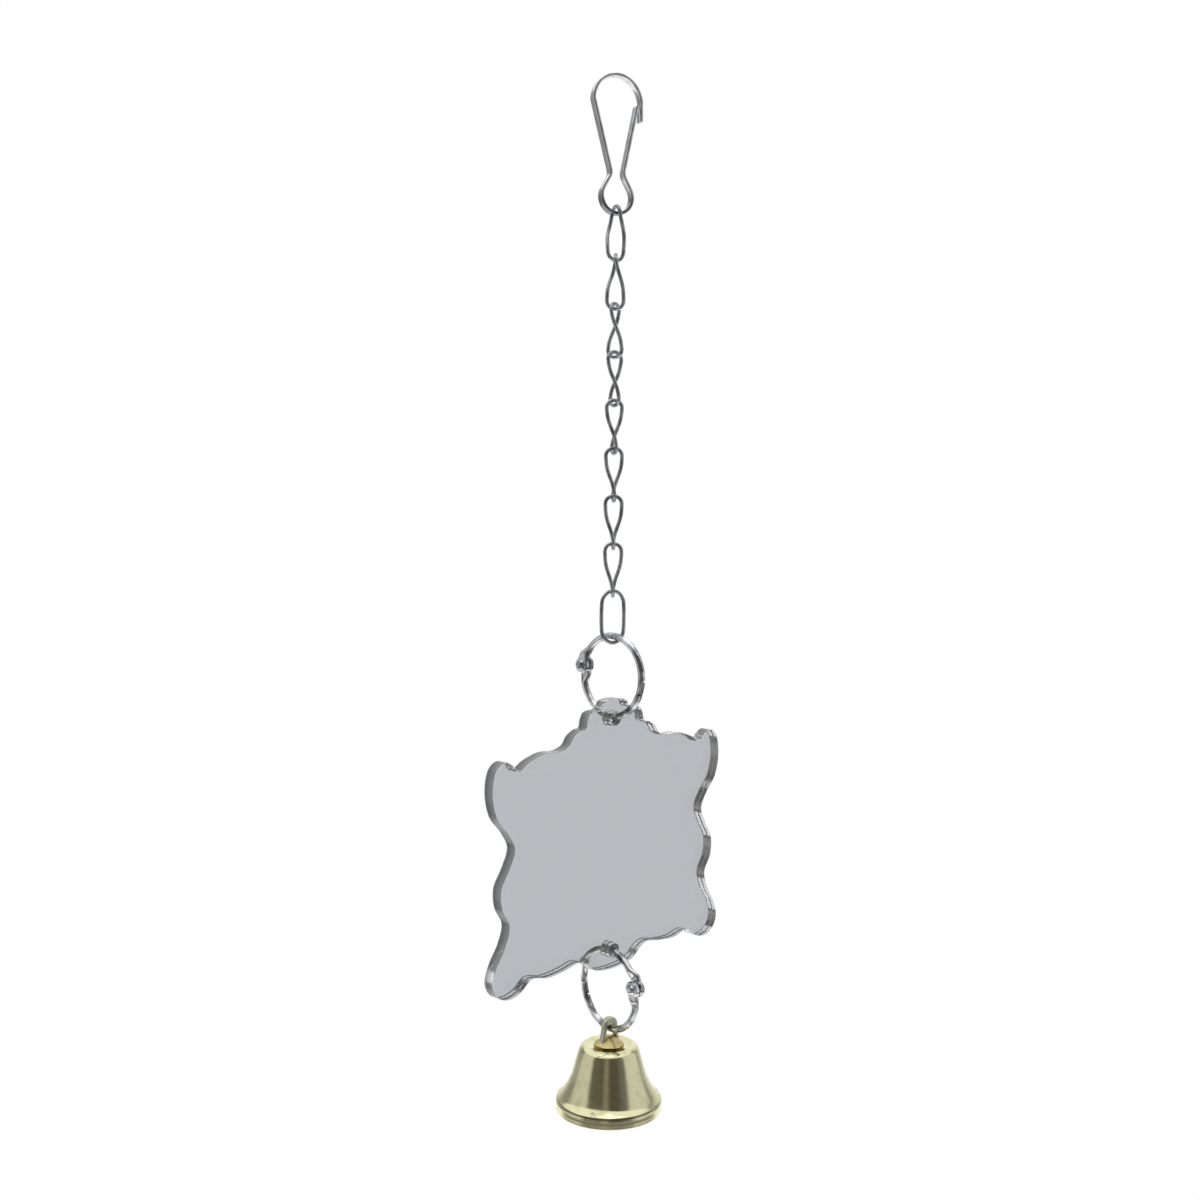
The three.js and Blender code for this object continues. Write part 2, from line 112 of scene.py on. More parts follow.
def nickel_plate(name, bright, cloudy, cloud_mm, roughness, scratch_mm, painted_reflection=None):
    """Nickel on steel: a near-neutral mirror, darker in clouds and in any band of painted dark
    reflection, with fine scratches.
    """
    material, tree, place = new_material(name)
    cloud = node(tree, "ShaderNodeTexNoise", {"Vector": place, "Scale": 1 / (cloud_mm * MM),
                                              "Detail": 3.0})
    share = node(tree, "ShaderNodeMapRange", {"Value": cloud.outputs["Fac"], "From Min": 0.4,
                                              "From Max": 0.64})
    tint = node(tree, "ShaderNodeMix", {"Factor": share.outputs["Result"], "A": linear(bright),
                                        "B": linear(cloudy)}, data_type="RGBA")
    # Between two heights the colour is painted darker: a painted dark reflection.
    if painted_reflection:
        start, end, colour = painted_reflection
        height = node(tree, "ShaderNodeSeparateXYZ", {"Vector": place})
        painted_reflection_share = node(tree, "ShaderNodeMapRange", {"Value": height.outputs["Z"], "From Min": start * MM,
                                                 "From Max": end * MM}, interpolation_type="SMOOTHSTEP")
        tint = node(tree, "ShaderNodeMix", {"Factor": painted_reflection_share.outputs["Result"],
                                            "A": tint.outputs["Result"],
                                            "B": linear(colour)}, data_type="RGBA")
    scratches = node(tree, "ShaderNodeTexNoise", {"Vector": place, "Scale": 1 / (scratch_mm * MM),
                                                  "Detail": 4.0, "Roughness": 0.7})
    dullness = node(tree, "ShaderNodeMapRange", {"Value": scratches.outputs["Fac"], "From Min": 0.3,
                                                 "From Max": 0.75, "To Min": roughness[0],
                                                 "To Max": roughness[1]})
    relief = node(tree, "ShaderNodeBump", {"Height": scratches.outputs["Fac"], "Strength": 0.25,
                                           "Distance": SCRATCH_DEPTH * MM})
    metal = node(tree, "ShaderNodeBsdfPrincipled", {
        "Base Color": tint.outputs["Result"], "Metallic": 1.0, "Roughness": dullness.outputs["Result"],
        "Normal": relief.outputs["Normal"]})
    node(tree, "ShaderNodeOutputMaterial", {"Surface": metal.outputs["BSDF"]})
    return material


def arc(middle_z, radius, start, end, steps):
    """Points of an arc in the XZ plane, angles in degrees from +X towards +Z."""
    angles = [math.radians(start + (end - start) * i / steps) for i in range(steps + 1)]
    return [Vector((radius * math.cos(a), 0, middle_z + radius * math.sin(a))) for a in angles]


def straight(start, end, steps):
    """Points between two ends, without the ends."""
    return [start.lerp(end, i / steps) for i in range(1, steps)]


def bend(before, corner, after, reach, steps):
    """A corner rounded over the given reach along each side."""
    first = corner + (before - corner).normalized() * reach
    last = corner + (after - corner).normalized() * reach
    shares = [i / steps for i in range(steps + 1)]
    return [first.lerp(corner, s).lerp(corner.lerp(last, s), s) for s in shares]


def rounded_strip(thickness, width, radius):
    """The section of a flat strip with rolled edges."""
    outline = []
    for quarter, (a, b) in enumerate([(1, 1), (-1, 1), (-1, -1), (1, -1)]):
        for step in range(STRIP_EDGE_STEPS + 1):
            angle = math.radians(90 * (quarter + step / STRIP_EDGE_STEPS))
            outline.append((a * (thickness / 2 - radius) + radius * math.cos(angle),
                            b * (width / 2 - radius) + radius * math.sin(angle)))
    return outline


def bar_rows(path, sideways, outlines, looped=False):
    """Carries one flat outline per point along a path; its second axis lies in the sideways one."""
    rows = []
    for i, point in enumerate(path):
        before = path[i - 1] if looped else path[max(i - 1, 0)]
        after = path[(i + 1) % len(path)] if looped else path[min(i + 1, len(path) - 1)]
        along = (after - before).normalized()
        side = (sideways[i] - along * along.dot(sideways[i])).normalized()
        across = side.cross(along)
        rows.append([point + across * a + side * b for a, b in outlines[i]])
    return rows


def band(form, here, there, material_index=0):
    """A closed band of faces between two rings of corners."""
    for j in range(len(here)):
        k = (j + 1) % len(here)
        form.faces.new((here[j], here[k], there[k], there[j])).material_index = material_index


def piece_of(name, form, sharp_angle, materials):
    """A form as an object of the scene, smooth apart from edges over the given angle."""
    bmesh.ops.recalc_face_normals(form, faces=form.faces)
    mesh = bpy.data.meshes.new(name)
    form.to_mesh(mesh)
    form.free()
    mesh.shade_smooth()
    mesh.set_sharp_from_angle(angle=math.radians(sharp_angle))
    for material in materials:
        mesh.materials.append(material)
    piece = bpy.data.objects.new(name, mesh)
    bpy.context.scene.collection.objects.link(piece)
    return piece


def skin(name, shells, place, material):
    """One piece from closed shells. Each shell is rows of points and whether its rows join in a loop."""
    form = bmesh.new()
    for rows, looped in shells:
        grid = [[form.verts.new(place @ point * MM) for point in row] for row in rows]
        for i in range(len(grid) if looped else len(grid) - 1):
            band(form, grid[i], grid[(i + 1) % len(grid)])
        if not looped:
            form.faces.new(grid[0][::-1])
            form.faces.new(grid[-1])
    return piece_of(name, form, SHARP_EDGE_ANGLE, [material])


def at(z, yaw):
    """Where a piece hangs: its height and its turn about the hanging line."""
    return Matrix.Translation((0, 0, z)) @ Matrix.Rotation(math.radians(yaw), 4, "Z")


def dress(piece, body, slot, *nodes):
    """The piece rides on a body and stands for the frame's nodes, which it hides; its slot is not used.
    """
    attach(piece, body)
    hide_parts(*nodes)


# Plated strip is bright, with faint clouds. The lower half of the bulb is painted darker, a painted dark
# reflection.
spring_strip_plate = nickel_plate(
    "nickel_plated_spring_strip", "#f0f0f1", "#cfd0d2", cloud_mm=2.4, roughness=(0.08, 0.22),
    scratch_mm=0.16, painted_reflection=(HOOK_PAINTED_REFLECTION_START, HOOK_PAINTED_REFLECTION_END, "#8b8c8e"))

strip = rounded_strip(HOOK_STRIP_THICKNESS, HOOK_STRIP_WIDTH, HOOK_STRIP_EDGE_RADIUS)
strip_half = HOOK_STRIP_THICKNESS / 2
hook_side = HOOK_WIDTH / 2 - strip_half
hook_loop_z = strip_half - hook_side
hook_bottom = HOOK_STRIP_THICKNESS - HOOK_LENGTH + strip_half
waist_x = (HOOK_WAIST_WIDTH - HOOK_STRIP_THICKNESS) / 2
waist_z = hook_bottom - strip_half + HOOK_BULB_WIDTH + HOOK_NECK_LENGTH
bulb_radius = (HOOK_BULB_WIDTH - HOOK_STRIP_THICKNESS) / 2
bulb_z = hook_bottom + bulb_radius
bulb_reach = math.hypot(waist_x, waist_z - bulb_z)
waist_angle = math.atan2(waist_z - bulb_z, -waist_x)

# The bulb starts where a line from the waist just touches it, and ends at the mirror image of that.
bulb_start = math.degrees(waist_angle + math.acos(bulb_radius / bulb_reach))
bulb_end = 180 - bulb_start + 360

nose_end = Vector((hook_side, 0, hook_loop_z - HOOK_NOSE_LENGTH))
loop = arc(hook_loop_z, hook_side, 0, 180, HOOK_ARC_STEPS)
bulb = arc(bulb_z, bulb_radius, bulb_start, bulb_end, HOOK_ARC_STEPS)
left_waist = bend(loop[-1], Vector((-waist_x, 0, waist_z)), bulb[0], HOOK_WAIST_BEND, HOOK_BEND_STEPS)
gate_tip = Vector((hook_side - HOOK_STRIP_THICKNESS - HOOK_TIP_GAP, 0, hook_loop_z - HOOK_TIP_DROP))
right_waist = bend(bulb[-1], Vector((waist_x, 0, waist_z)), gate_tip, HOOK_WAIST_BEND, HOOK_BEND_STEPS)
fixed_path = [nose_end, *loop, *left_waist, *bulb, right_waist[0]]
spring_path = [*right_waist, *straight(right_waist[-1], gate_tip, HOOK_LEG_STEPS), gate_tip]
hook_place = at(0, HOOK_YAW)


def bent_strip(name, path):
    """A length of the hook's strip, bent along a path."""
    rows = bar_rows(path, [Y_AXIS] * len(path), [strip] * len(path))
    return skin(name, [(rows, False)], hook_place, spring_strip_plate)


fixed_strip = bent_strip("snap_hook_strip", fixed_path)
dress(fixed_strip, "hook", "spring_steel", "snap_hook_body")
spring_leg = bent_strip("snap_hook_spring_leg", spring_path)
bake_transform(spring_leg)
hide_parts("snap_hook_gate")


# Chain: eight oval links of drawn steel wire, each twisted a quarter turn about its length, and one
# plain oval link below them. A machine bends each link round the one before, so its ends only butt.

FIRST_LINK_HEIGHT = -31.17
LINK_PITCH = 11.85
LINK_TURNS = [0, -25, -32, -24, -16, -10, -6, -2]
LINK_OUTER_LENGTH = 14.15
LINK_OUTER_WIDTH = 5.1
LINK_TWIST = 90
LINK_SEAM_WIDTH = 0.12
LINK_SEAM_NARROWING = 0.88
LINK_SEAM_ROWS = (-0.9, -0.5, 0.5, 0.9)
LINK_ARC_STEPS = 20
LINK_LEG_STEPS = 24
WIRE_SIDES = 20
END_LINK_OUTER_LENGTH = 14.0
END_LINK_OUTER_WIDTH = 7.0
END_LINK_BOW = 0.15
END_LINK_YAW = -25

# The solids' wire is 1.0. Drawn a hair thinner, links clear each other at the ends of their swing.
LINK_WIRE = 0.97

# Plated wire is duller and greyer than the strip, because the links rub on each other.
wire_plate = nickel_plate("nickel_plated_drawn_wire", "#bcbec0", "#888a8d", cloud_mm=2.4,
                          roughness=(0.14, 0.34), scratch_mm=0.2)


def round_outline(diameter, sides=WIRE_SIDES):
    """The section of a round wire."""
    angles = [2 * math.pi * (i + 0.5) / sides for i in range(sides)]
    return [(math.cos(a) * diameter / 2, math.sin(a) * diameter / 2) for a in angles]


def link(name, outer_length, outer_width, twist, place, bow=0):
    """An oval of wire turned about its own length, its legs bowed out, its butted ends on one leg."""
    radius = (outer_width - LINK_WIRE) / 2
    low = LINK_WIRE - outer_length + radius
    top = arc(-radius, radius, 0, 180, LINK_ARC_STEPS)
    bottom = arc(low, radius, 180, 360, LINK_ARC_STEPS)
    down = straight(top[-1], bottom[0], LINK_LEG_STEPS)
    middle = bottom[-1].lerp(top[0], 0.5)
    seam = [middle + Vector((0, 0, shift * LINK_SEAM_WIDTH)) for shift in LINK_SEAM_ROWS]
    up = [*straight(bottom[-1], seam[0], LINK_LEG_STEPS // 2), *seam,
          *straight(seam[-1], top[0], LINK_LEG_STEPS // 2)]
    oval = [*top, *down, *bottom, *up]
    twist_top = -radius / 2
    twist_bottom = low - radius / 2
    path = []
    sideways = []
    # The wire twists more slowly near its bends than along the legs.
    for point in oval:
        share = min(max((twist_top - point.z) / (twist_top - twist_bottom), 0), 1)
        turn = twist * (share - math.sin(2 * math.pi * share) / (4 * math.pi))
        turned = Matrix.Rotation(math.radians(turn), 3, "Z")
        from_middle = (point.z - middle.z) / (outer_length / 2)
        path.append(turned @ Vector((point.x * (1 - bow * from_middle ** 2), 0, point.z)))
        sideways.append(turned @ Y_AXIS)
    wire = round_outline(LINK_WIRE)
    narrow = [(a * LINK_SEAM_NARROWING, b * LINK_SEAM_NARROWING) for a, b in wire]
    outlines = [narrow if point in seam[1:3] else wire for point in oval]
    return skin(name, [(bar_rows(path, sideways, outlines, True), True)], place, wire_plate)


# The first link's top lies square to the hook's strip. A quarter twist sets each link's bottom square
# to its top, so the next link's top lies as this one's does, but for its own small turn.
link_yaw = HOOK_YAW + 90
link_height = FIRST_LINK_HEIGHT
for number, turn in enumerate(LINK_TURNS, 1):
    link_yaw += turn
    twisted = link(f"chain_link_{number}", LINK_OUTER_LENGTH, LINK_OUTER_WIDTH, LINK_TWIST,
                   at(link_height, link_yaw))
    dress(twisted, f"link_{number}", "nickel_steel", f"twist_link_{number}")
    link_height -= LINK_PITCH

plain_link = link("chain_end_link", END_LINK_OUTER_LENGTH, END_LINK_OUTER_WIDTH, 0,
                  at(link_height, END_LINK_YAW), END_LINK_BOW)
dress(plain_link, "end_link", "nickel_steel", "end_link")


# Book rings: two half circles of thicker wire, flattened to lugs at one end and riveted there to a
# hinge, and thinned at the other end so that they snap shut in a lap. They are bright nickel plated.

RING_OUTER_DIAMETER = 22.0
RING_WIRE = 1.8
RING_WIRE_SIDES = 24
RING_LUG_DIAMETER = 4.2
RING_LUG_THICKNESS = 1.4
RING_LUG_EDGE = 0.3
RING_LUG_GAP = 0.3
RING_LUG_SIDES = 32
RING_LEAF_WIDTH = 3.0
RING_LEAF_TAPER = 2.6
RING_LEAF_SQUARENESS = 0.6
RING_LEAF_STEPS = 6
RING_TAPER_STEPS = 12
RING_ROUND_STEPS = 60
RING_LAP_ANGLE = 16
RING_LAP_GAP = 0.42
RING_LAP_SHOULDER = 0.05
RING_LAP_FLAT_SHARE = 0.97
RING_LAP_STEPS = 10
RING_PIN_DIAMETER = 1.4
RING_PIN_PLAY = 0.02
RING_PIN_HEAD_DIAMETER = 2.7
RING_PIN_HEAD_HEIGHT = 0.8
RING_PIN_DOME_STEP = 12
UPPER_RING_HEIGHT = -147.37
UPPER_RING_HINGE_TILT = 12
LOWER_RING_HEIGHT = -227.36
LOWER_RING_HINGE_TILT = 15
LOWER_RING_YAW = -5
X_AXIS = Vector((1, 0, 0))

# Bright plating mirrors the room sharply, and dark clouds break it up as handling does.
ring_plate = nickel_plate("bright_nickel_plated_ring", "#ecedee", "#85878a", cloud_mm=3.2,
                          roughness=(0.06, 0.2), scratch_mm=0.3)

ring_radius = (RING_OUTER_DIAMETER - RING_WIRE) / 2
lug_inner = RING_LUG_GAP / 2
lug_outer = lug_inner + RING_LUG_THICKNESS
lug_middle = (lug_inner + lug_outer) / 2


def rounded_square(width, sides):
    """A square section with well rounded corners, point for point with the round one."""
    half = width / 2
    return [tuple(half * math.copysign(abs(c / half) ** RING_LEAF_SQUARENESS, c) for c in corner)
            for corner in round_outline(width, sides)]


def turned_rows(profile):
    """Rings of points round the X axis at the hinge, from radius and distance-along pairs."""
    angles = [2 * math.pi * i / RING_LUG_SIDES for i in range(RING_LUG_SIDES)]
    return [[Vector((x, ring_radius + r * math.cos(a), r * math.sin(a))) for a in angles]
            for r, x in profile]


def half_ring():
    """Half of a ring in the YZ plane, hinge at angle zero, thinned end on its -X side, and its lug."""
    lap = RING_LAP_ANGLE / 2
    leaf_end = math.degrees((RING_LUG_DIAMETER / 2 + RING_LUG_GAP) / ring_radius)
    round_start = leaf_end + math.degrees(RING_LEAF_TAPER / ring_radius)
    lap_start = 180 - lap - math.degrees(RING_LAP_GAP / ring_radius)
    flat_start = lap_start + math.degrees(RING_LAP_SHOULDER / ring_radius)
    full = round_outline(RING_WIRE, RING_WIRE_SIDES)
    leaf = [(a * RING_LEAF_WIDTH / RING_WIRE, b * RING_LUG_THICKNESS / RING_WIRE - lug_middle)
            for a, b in rounded_square(RING_WIRE, RING_WIRE_SIDES)]
    # The points of the cut-away side are spread over a little less than the flat, so that none coincide.
    thinned = [(a if b < 0 else a * RING_LAP_FLAT_SHARE, min(b, -lug_inner)) for a, b in full]
    # Each span has its two angles, the sections at its two ends and its number of steps.
    spans = [(0, leaf_end, leaf, leaf, RING_LEAF_STEPS),
             (leaf_end, round_start, leaf, full, RING_TAPER_STEPS),
             (round_start, lap_start, full, full, RING_ROUND_STEPS),
             (lap_start, flat_start, full, thinned, 1),
             (flat_start, 180 + lap, thinned, thinned, RING_LAP_STEPS)]
    path = [Vector((0, ring_radius, 0))]
    outlines = [leaf]
    for start, end, first, last, steps in spans:
        path += [Vector((0, point.x, point.z)) for point in arc(0, ring_radius, start, end, steps)[1:]]
        for i in range(1, steps + 1):
            share = i / steps
            ease = share * share * (3 - 2 * share)
            outlines.append([(a + (c - a) * ease, b + (d - b) * ease)
                             for (a, b), (c, d) in zip(first, last)])
    rows = bar_rows(path, [X_AXIS] * len(path), outlines)
    bore = RING_PIN_DIAMETER / 2
    rim = RING_LUG_DIAMETER / 2
    edge = RING_LUG_EDGE
    profile = [(bore, -lug_inner), (rim - edge, -lug_inner), (rim, -lug_inner - edge),
               (rim, -lug_outer + edge), (rim - edge, -lug_outer), (bore, -lug_outer)]
    return [(rows, False), (turned_rows(profile), True)]


def hinge_pin():
    """A rivet through both lugs, with a domed head on each side."""
    head = RING_PIN_HEAD_DIAMETER / 2
    inner = lug_outer + RING_PIN_PLAY
    angles = [math.radians(degrees) for degrees in range(0, 90, RING_PIN_DOME_STEP)]
    dome = [(head * math.cos(a), inner + RING_PIN_HEAD_HEIGHT * math.sin(a)) for a in angles]
    upper = [(RING_PIN_DIAMETER / 2 - RING_PIN_PLAY, inner), *dome]
    profile = [(r, -x) for r, x in reversed(upper)] + upper
    return [(turned_rows(profile), False)]


def book_ring(name, tilt, place, body):
    """The two halves and the pin of one ring, hung with its hinge tilted up from level."""
    tilted = place @ Matrix.Rotation(math.radians(tilt), 4, "X")
    turned_over = tilted @ Matrix.Rotation(math.pi, 4, "Y")
    top = skin(f"{name}_upper_half", half_ring(), tilted, ring_plate)
    dress(top, body, "nickel_steel", f"{name}_top_half")
    bottom = skin(f"{name}_lower_half", half_ring(), turned_over, ring_plate)
    dress(bottom, f"{body}_gate", "nickel_steel", f"{name}_bottom_half")
    pin = skin(f"{name}_rivet", hinge_pin(), tilted, ring_plate)
    dress(pin, body, "nickel_steel", f"{name}_hinge_pin")


book_ring("upper_ring", UPPER_RING_HINGE_TILT, at(UPPER_RING_HEIGHT, 0), "upper_ring")
book_ring("lower_ring", LOWER_RING_HINGE_TILT, at(LOWER_RING_HEIGHT, 180 + LOWER_RING_YAW), "lower_ring")


# Mirror plate: 3 mm clear acrylic sheet, laser cut to a wavy outline with a holed tab above and below.
# Its back has a vacuum-coated silver film under a grey protective paint, so the face is a mirror and
# the cut edge stays clear.

PLATE_WIDTH = 81.0
PLATE_HEIGHT = 68.2
PLATE_THICKNESS = 3.0
PLATE_TOP = -153.46
PLATE_HOLE_DIAMETER = 3.6
PLATE_HOLE_MARGIN = 2.7
PLATE_HOLE_SIDES = 48
PLATE_EDGE_ROUNDING = 0.2
PLATE_SHARP_ANGLE = 20
PLATE_CURVE_STEPS = 8
STREAK_STRETCH = 25
FILM_THICKNESS = 0.1
FILM_GAP = 0.02
FILM_EDGE_ROUNDING = 0.02
FILM_WAVE = 22
FILM_WAVE_DEPTH = 0.05
FILM_SPECK = 0.9
PAINT_PATCH = 9
PAINT_PEEL = 0.45
PAINT_PEEL_DEPTH = 0.03
# Where the cut edge's painted shade starts at the front and is full at the back, in mm across the sheet.
EDGE_PAINTED_SHADE_FRONT = -0.9
EDGE_PAINTED_SHADE_BACK = 1.0
ACRYLIC_IOR = 1.49

# The middle row of a rounded edge lies this share of the rounding in from both the face and the edge.
ROUNDING_MIDDLE = 0.3

# Half of the wavy outline, from the top tab down: shares of the half width across, of the height down.
PLATE_EDGE = [
    (0.09, 0), (0.118, 0.024), (0.22, 0.036), (0.245, 0.06), (0.258, 0.088), (0.3, 0.093),
    (0.36, 0.112), (0.4, 0.142), (0.47, 0.156), (0.59, 0.155), (0.72, 0.177), (0.8, 0.202),
    (0.845, 0.178), (0.905, 0.163), (0.97, 0.185), (1, 0.262), (0.965, 0.352), (0.88, 0.412),
    (0.828, 0.47), (0.87, 0.535), (0.932, 0.6), (0.925, 0.668), (0.868, 0.733), (0.9, 0.8),
    (0.965, 0.862), (0.995, 0.925), (0.95, 0.973), (0.86, 0.99), (0.775, 0.977), (0.695, 0.945),
    (0.56, 0.957), (0.43, 0.952), (0.3, 0.94), (0.235, 0.957), (0.17, 0.986),
]


def smooth_loop(knots, steps):
    """A closed curve through the knots, by the centripetal Catmull-Rom rule."""
    points = []
    for i in range(len(knots)):
        p0, p1, p2, p3 = (knots[(i + k) % len(knots)] for k in (-1, 0, 1, 2))
        t1 = (p1 - p0).length ** 0.5
        t2 = t1 + (p2 - p1).length ** 0.5
        t3 = t2 + (p3 - p2).length ** 0.5
        for step in range(steps):
            t = t1 + (t2 - t1) * step / steps
            a1 = p0.lerp(p1, t / t1)
            a2 = p1.lerp(p2, (t - t1) / (t2 - t1))
            a3 = p2.lerp(p3, (t - t2) / (t3 - t2))
            b1 = a1.lerp(a2, t / t2)
            b2 = a2.lerp(a3, (t - t1) / (t3 - t1))
            points.append(b1.lerp(b2, (t - t1) / (t2 - t1)))
    return points


def inset(line, distance):
    """A closed line in the XZ plane moved to its left by a distance."""
    moved = []
    for i, point in enumerate(line):
        along = (line[(i + 1) % len(line)] - line[i - 1]).normalized()
        moved.append(point + Vector((-along.z, 0, along.x)) * distance)
    return moved


plate_bottom = PLATE_TOP - PLATE_HEIGHT
right_side = [Vector((across * PLATE_WIDTH / 2, 0, PLATE_TOP - down * PLATE_HEIGHT))
              for across, down in PLATE_EDGE]
left_side = [Vector((-p.x, 0, p.z)) for p in right_side]
plate_foot = Vector((0, 0, plate_bottom))
plate_outline = smooth_loop([*left_side, plate_foot, *reversed(right_side)], PLATE_CURVE_STEPS)
hole_radius = PLATE_HOLE_DIAMETER / 2
hole_drop = PLATE_HOLE_MARGIN + hole_radius
plate_holes = [list(reversed(arc(z, hole_radius, 0, 360, PLATE_HOLE_SIDES)[:-1]))
               for z in (PLATE_TOP - hole_drop, plate_bottom + hole_drop)]


def sheet(name, front, back, rounding, materials):
    """A flat sheet with the plate's outline and holes. Its materials are for front, edges and back."""
    form = bmesh.new()
    part_way = ROUNDING_MIDDLE * rounding
    layers = [(front, rounding), (front + part_way, part_way), (front + rounding, 0),
              (back - rounding, 0), (back - part_way, part_way), (back, rounding)]
    rings = []
    for y, distance in layers:
        level = []
        for line in [plate_outline, *plate_holes]:
            level.append([form.verts.new((p + Vector((0, y, 0))) * MM) for p in inset(line, distance)])
        rings.append(level)
    for lower, upper in zip(rings, rings[1:]):
        for here, there in zip(lower, upper):
            band(form, here, there, 1)
    for level, index in ((rings[0], 0), (rings[-1], 2)):
        flat = [corner for line in level for corner in line]
        for triangle in tessellate_polygon([[corner.co for corner in line] for line in level]):
            form.faces.new([flat[i] for i in triangle]).material_index = index
    return piece_of(name, form, PLATE_SHARP_ANGLE, materials)


def clear_acrylic(name, colour, clearness, roughness, streak_mm, streak_depth_mm, painted_shade_colour=None):
    """Cast acrylic: water clear. A cut edge is frosted and streaked across, and may take painted shade,
    greyer towards the film.
    """
    material, tree, place = new_material(name)
    stretched = node(tree, "ShaderNodeMapping", {"Vector": place, "Scale": (1, 1 / STREAK_STRETCH, 1)})
    streaks = node(tree, "ShaderNodeTexNoise", {"Vector": stretched.outputs["Vector"],
                                                "Scale": 1 / (streak_mm * MM), "Detail": 2.0})
    relief = node(tree, "ShaderNodeBump", {"Height": streaks.outputs["Fac"], "Strength": 0.5,
                                           "Distance": streak_depth_mm * MM})
    dullness = node(tree, "ShaderNodeMapRange", {"Value": streaks.outputs["Fac"], "To Min": roughness[0],
                                                 "To Max": roughness[1]})
    tint = linear(colour)
    # Painted shade: the edge's colour greys from front to back.
    if painted_shade_colour:
        depth = node(tree, "ShaderNodeSeparateXYZ", {"Vector": place})
        painted_shade_share = node(tree, "ShaderNodeMapRange", {"Value": depth.outputs["Y"],
                                                     "From Min": EDGE_PAINTED_SHADE_FRONT * MM,
                                                     "From Max": EDGE_PAINTED_SHADE_BACK * MM})
        edge_painted_shade = node(tree, "ShaderNodeMix", {"Factor": painted_shade_share.outputs["Result"], "A": tint,
                                              "B": linear(painted_shade_colour)}, data_type="RGBA")
        tint = edge_painted_shade.outputs["Result"]
    clear = node(tree, "ShaderNodeBsdfPrincipled", {
        "Base Color": tint, "Roughness": dullness.outputs["Result"], "IOR": ACRYLIC_IOR,
        "Transmission Weight": clearness, "Normal": relief.outputs["Normal"]})
    node(tree, "ShaderNodeOutputMaterial", {"Surface": clear.outputs["BSDF"]})
    return material


def silver_film():
    """Vacuum-coated aluminium behind acrylic: a cool grey mirror, a touch wavy because the sheet is."""
    material, tree, place = new_material("vacuum_coated_silver_film")
    waves = node(tree, "ShaderNodeTexNoise", {"Vector": place, "Scale": 1 / (FILM_WAVE * MM),
                                              "Detail": 1.0})
    relief = node(tree, "ShaderNodeBump", {"Height": waves.outputs["Fac"], "Strength": 0.3,
                                           "Distance": FILM_WAVE_DEPTH * MM})
    specks = node(tree, "ShaderNodeTexNoise", {"Vector": place, "Scale": 1 / (FILM_SPECK * MM),
                                               "Detail": 3.0})
    dullness = node(tree, "ShaderNodeMapRange", {"Value": specks.outputs["Fac"], "To Min": 0.02,
                                                 "To Max": 0.07})
    metal = node(tree, "ShaderNodeBsdfPrincipled", {
        "Base Color": linear("#eeeeef"), "Metallic": 1.0, "Roughness": dullness.outputs["Result"],
        "Normal": relief.outputs["Normal"]})
    node(tree, "ShaderNodeOutputMaterial", {"Surface": metal.outputs["BSDF"]})
    return material


def backing_paint():
    """Sprayed grey protective paint: flat, with a fine orange peel and faint darker patches."""
    material, tree, place = new_material("grey_backing_paint")
    patches = node(tree, "ShaderNodeTexNoise", {"Vector": place, "Scale": 1 / (PAINT_PATCH * MM),
                                                "Detail": 4.0})
    tint = node(tree, "ShaderNodeMix", {"Factor": patches.outputs["Fac"], "A": linear("#9a9c9f"),
                                        "B": linear("#86888b")}, data_type="RGBA")
    peel = node(tree, "ShaderNodeTexNoise", {"Vector": place, "Scale": 1 / (PAINT_PEEL * MM),
                                             "Detail": 2.0})
    relief = node(tree, "ShaderNodeBump", {"Height": peel.outputs["Fac"], "Strength": 0.4,
                                           "Distance": PAINT_PEEL_DEPTH * MM})
    paint = node(tree, "ShaderNodeBsdfPrincipled", {
        "Base Color": tint.outputs["Result"], "Roughness": 0.5, "IOR": 1.5,
        "Normal": relief.outputs["Normal"]})
    node(tree, "ShaderNodeOutputMaterial", {"Surface": paint.outputs["BSDF"]})
    return material


# The face is polished as cast. The laser leaves a streak on the edge every 0.1 mm or so, too fine to
# show, so its streaks are drawn coarser.
acrylic_face = clear_acrylic("clear_cast_acrylic", "#f9f9fa", clearness=1.0, roughness=(0.0, 0.02),
                             streak_mm=14, streak_depth_mm=0.0)
# The cut edge takes painted shade, greyer towards the back.
acrylic_edge = clear_acrylic("laser_cut_acrylic_edge", "#f8fafb", clearness=0.8, roughness=(0.04, 0.14),
                             streak_mm=0.5, streak_depth_mm=0.02, painted_shade_colour="#b4babf")
mirror_film = silver_film()
plate_paint = backing_paint()
film_front = PLATE_THICKNESS / 2 - FILM_THICKNESS
clear_sheet = sheet("mirror_acrylic_sheet", -PLATE_THICKNESS / 2, film_front - FILM_GAP,
                    PLATE_EDGE_ROUNDING, [acrylic_face, acrylic_edge, acrylic_face])
dress(clear_sheet, "mirror", "mirror_acrylic", "mirror_plate")
film_sheet = sheet("mirror_back_coat", film_front, PLATE_THICKNESS / 2, FILM_EDGE_ROUNDING,
                   [mirror_film, plate_paint, plate_paint])
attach(film_sheet, "mirror")


# Bell: drawn from thin brass, with a rolled lip and a flat crown, then polished and plated pale.
# A cast arch with a round foot stands on the crown, and its stem is riveted over a washer inside.

BELL_TOP = -241.66
BELL_RIM_DIAMETER = 27.0
BELL_CROWN_DIAMETER = 15.6
BELL_SHOULDER_RADIUS = 2.0
BELL_SHOULDER_START_ANGLE = 18
BELL_SHOULDER_STEPS = 8
BELL_CURVE_STEPS = 6
BELL_SIDES = 96
BELL_HEIGHT = 16.4
BELL_WALL = 0.9
BELL_GROOVE = 0.155
